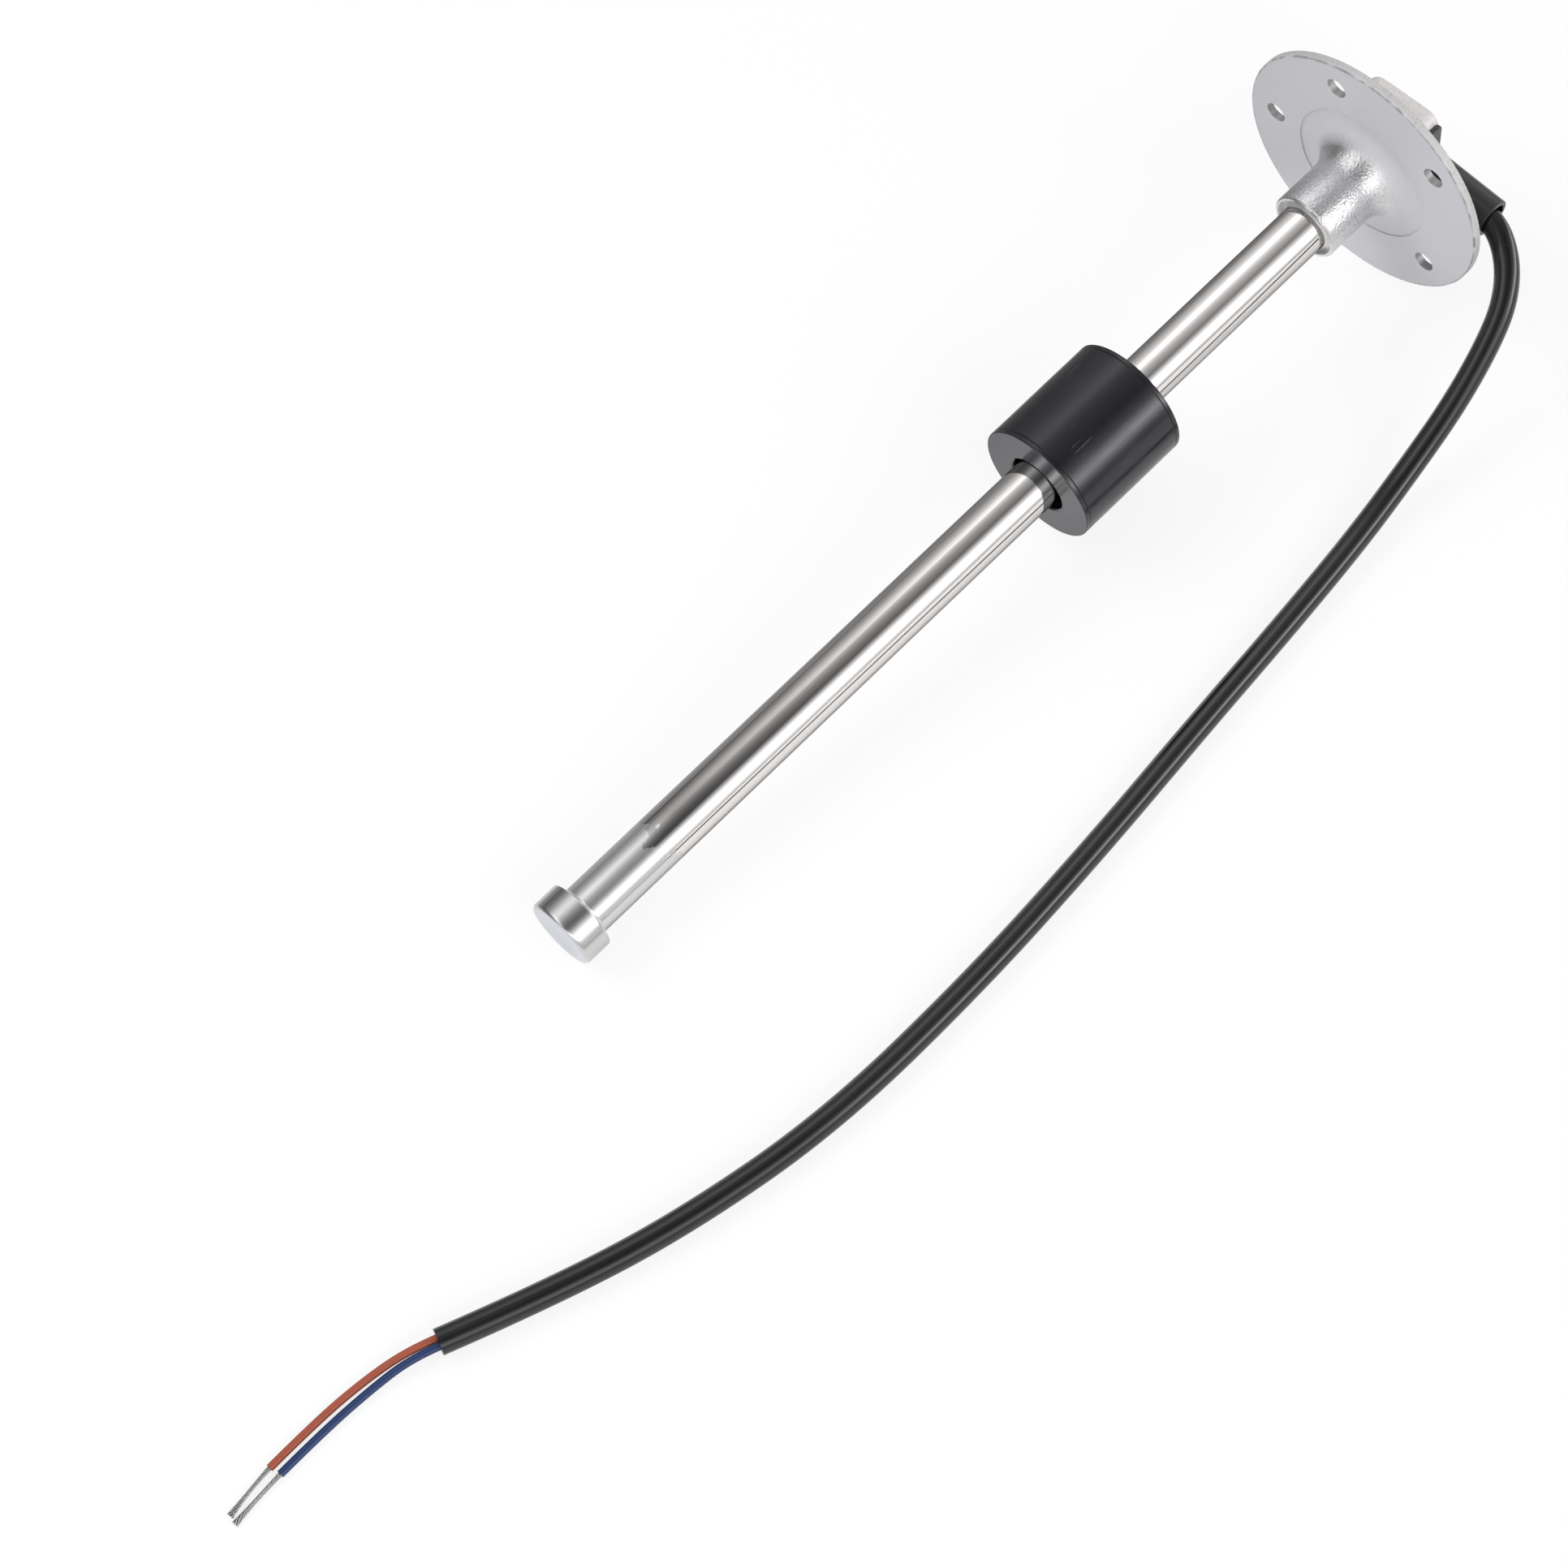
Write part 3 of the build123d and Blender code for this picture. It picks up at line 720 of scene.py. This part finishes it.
table_links.new(table_ray.outputs["Is Camera Ray"], table_seen.inputs[0])
table_links.new(table_place.outputs["Object"], table_split.inputs[0])
table_links.new(table_split.outputs["Y"], table_far.inputs["Value"])
table_links.new(table_split.outputs["Y"], table_near.inputs["Value"])
table_links.new(table_ray.outputs["Is Camera Ray"], table_level.inputs[0])
table_links.new(table_near.outputs["Result"], table_level.inputs[1])
table_links.new(table_level.outputs[0], table_glow.inputs["Strength"])
table_links.new(table_ray.outputs["Is Glossy Ray"], table_mirrored.inputs[0])
table_links.new(table_far.outputs["Result"], table_mirrored.inputs[1])
table_links.new(table_seen.outputs[0], table_share.inputs[0])
table_links.new(table_mirrored.outputs[0], table_share.inputs[1])
table_links.new(table_share.outputs[0], table_mix.inputs["Fac"])
table_links.new(table_shader.outputs["BSDF"], table_mix.inputs[1])
table_links.new(table_glow.outputs["Emission"], table_mix.inputs[2])
table_links.new(table_mix.outputs["Shader"], table_nodes["Material Output"].inputs["Surface"])
floor_mesh.materials.append(table_white)

# Studio: an even pale surround. Polished metal mirrors bands of light and dark instead,
# set by the angle from overhead. They change along the stem, from the cap to the flange,
# and again behind the cap.
plain_level = (0.55, 0.55, 0.56, 1)
reach_span = (0.20, 0.42)
past_cap_span = (0.21, 0.185)
studio = bpy.data.worlds.new("studio")
bpy.context.scene.world = studio
studio.use_nodes = True
studio_nodes = studio.node_tree.nodes
studio_links = studio.node_tree.links
surround = studio_nodes["Background"]
studio_place = studio_nodes.new("ShaderNodeTexCoord")
studio_split = studio_nodes.new("ShaderNodeSeparateXYZ")
toward_cable = studio_nodes.new("ShaderNodeMath")
toward_cable.operation = "MULTIPLY"
toward_cable.inputs[1].default_value = -1
lean = studio_nodes.new("ShaderNodeMath")
lean.operation = "ARCTAN2"
full_turn = studio_nodes.new("ShaderNodeMapRange")
full_turn.inputs["From Min"].default_value = -math.pi
full_turn.inputs["From Max"].default_value = math.pi
studio_links.new(studio_place.outputs["Generated"], studio_split.inputs[0])
studio_links.new(studio_split.outputs["Y"], toward_cable.inputs[0])
studio_links.new(toward_cable.outputs[0], lean.inputs[0])
studio_links.new(studio_split.outputs["Z"], lean.inputs[1])
studio_links.new(lean.outputs[0], full_turn.inputs["Value"])


def bands(stops):
    """Levels by the angle from overhead, in degrees towards the cable side."""
    ramp = studio_nodes.new("ShaderNodeValToRGB")
    ramp.color_ramp.interpolation = "EASE"
    while len(ramp.color_ramp.elements) < len(stops):
        ramp.color_ramp.elements.new(0.5)
    for stop, (angle, level) in zip(ramp.color_ramp.elements, stops):
        stop.position = (angle + 180) / 360
        stop.color = (level, level, level * 1.01, 1)
    studio_links.new(full_turn.outputs["Result"], ramp.inputs["Fac"])
    return ramp


near_bands = bands(
    [
        (-95, 0.35),
        (-86, 0.08),
        (-68, 0.17),
        (-53, 0.32),
        (-40, 0.36),
        (-27, 0.26),
        (-14, 0.17),
        (-2, 0.10),
        (9, 0.06),
        (22, 0.05),
        (28, 0.20),
        (32, 0.43),
        (44, 1.1),
        (56, 2.6),
        (70, 1.8),
        (80, 0.95),
        (92, 0.5),
    ]
)
far_bands = bands(
    [
        (-100, 0.3),
        (-86, 0.40),
        (-68, 0.60),
        (-53, 0.88),
        (-40, 1.5),
        (-29, 2.0),
        (-20, 1.1),
        (-13, 0.80),
        (-2, 0.55),
        (9, 0.41),
        (20, 0.26),
        (27, 0.36),
        (33, 0.64),
        (44, 1.1),
        (52, 3.5),
        (62, 7.0),
        (70, 3.5),
        (78, 0.9),
        (88, 0.5),
    ]
)
behind_bands = bands(
    [
        (-120, 0.3),
        (-86, 0.08),
        (-68, 0.20),
        (-53, 0.50),
        (-38, 1.3),
        (-27, 1.8),
        (-15, 1.1),
        (-3, 0.45),
        (9, 0.20),
        (20, 0.08),
        (27, 0.15),
        (34, 0.50),
        (44, 1.2),
        (52, 2.2),
        (62, 2.4),
        (70, 1.6),
        (80, 0.7),
        (92, 0.4),
    ]
)
down_stem = studio_nodes.new("ShaderNodeVectorMath")
down_stem.operation = "DOT_PRODUCT"
down_stem.inputs[1].default_value = -stem_way
studio_links.new(studio_place.outputs["Generated"], down_stem.inputs[0])
reach = studio_nodes.new("ShaderNodeMapRange")
reach.inputs["From Min"].default_value = reach_span[0]
reach.inputs["From Max"].default_value = reach_span[1]
studio_links.new(down_stem.outputs["Value"], reach.inputs["Value"])
mirror = studio_nodes.new("ShaderNodeMix")
mirror.data_type = "RGBA"
studio_links.new(reach.outputs["Result"], mirror.inputs["Factor"])
studio_links.new(near_bands.outputs["Color"], mirror.inputs["A"])
studio_links.new(far_bands.outputs["Color"], mirror.inputs["B"])
past_cap = studio_nodes.new("ShaderNodeMapRange")
past_cap.inputs["From Min"].default_value = past_cap_span[0]
past_cap.inputs["From Max"].default_value = past_cap_span[1]
studio_links.new(down_stem.outputs["Value"], past_cap.inputs["Value"])
whole = studio_nodes.new("ShaderNodeMix")
whole.data_type = "RGBA"
studio_links.new(past_cap.outputs["Result"], whole.inputs["Factor"])
studio_links.new(mirror.outputs["Result"], whole.inputs["A"])
studio_links.new(behind_bands.outputs["Color"], whole.inputs["B"])
studio_ray = studio_nodes.new("ShaderNodeLightPath")
pick = studio_nodes.new("ShaderNodeMix")
pick.data_type = "RGBA"
pick.inputs["A"].default_value = plain_level
studio_links.new(studio_ray.outputs["Is Glossy Ray"], pick.inputs["Factor"])
studio_links.new(whole.outputs["Result"], pick.inputs["B"])
camera_pick = studio_nodes.new("ShaderNodeMix")
camera_pick.data_type = "RGBA"
camera_pick.inputs["B"].default_value = (1, 1, 1, 1)
studio_links.new(studio_ray.outputs["Is Camera Ray"], camera_pick.inputs["Factor"])
studio_links.new(pick.outputs["Result"], camera_pick.inputs["A"])
studio_links.new(camera_pick.outputs["Result"], surround.inputs["Color"])

# Lamps: two large soft boxes, one on the cable side and one past the cap on the far side.
# Both aim at the middle of the unit and aren't mirrored in the metal.
lamp_aim = (0, 0, 0.02)
key_spot = (-0.1, -1.0, 0.75)
key_size = (1.4, 0.6)
key_power = 9.5
fill_spot = (-0.6, 0.8, 1.0)
fill_size = (1.2, 0.7)
fill_power = 11.5


def soft_box(name, spot, size, power):
    """A rectangular lamp that faces the unit."""
    lamp = bpy.data.lights.new(name, "AREA")
    lamp.shape = "RECTANGLE"
    lamp.size = size[0]
    lamp.size_y = size[1]
    lamp.energy = power
    piece = bpy.data.objects.new(name, lamp)
    piece.location = spot
    piece.visible_glossy = False
    piece.rotation_euler = (Vector(lamp_aim) - Vector(spot)).to_track_quat("-Z", "Y").to_euler()
    bpy.context.scene.collection.objects.link(piece)


soft_box("key_box", key_spot, key_size, key_power)
soft_box("fill_box", fill_spot, fill_size, fill_power)

# Camera: the photograph's view, looking down on the unit from the end cap's side.
camera_dip = 62.31
camera_heading = -45.24
camera_data = bpy.data.cameras.new("camera")
camera_data.sensor_width = 36.0
camera_data.lens = 82.585
camera = bpy.data.objects.new("camera", camera_data)
camera.location = (-0.35169, -0.27700, 0.73502)
camera.rotation_euler = (math.radians(90 - camera_dip), 0, math.radians(camera_heading))
bpy.context.scene.collection.objects.link(camera)
bpy.context.scene.camera = camera
bpy.context.scene.view_settings.view_transform = "Standard"
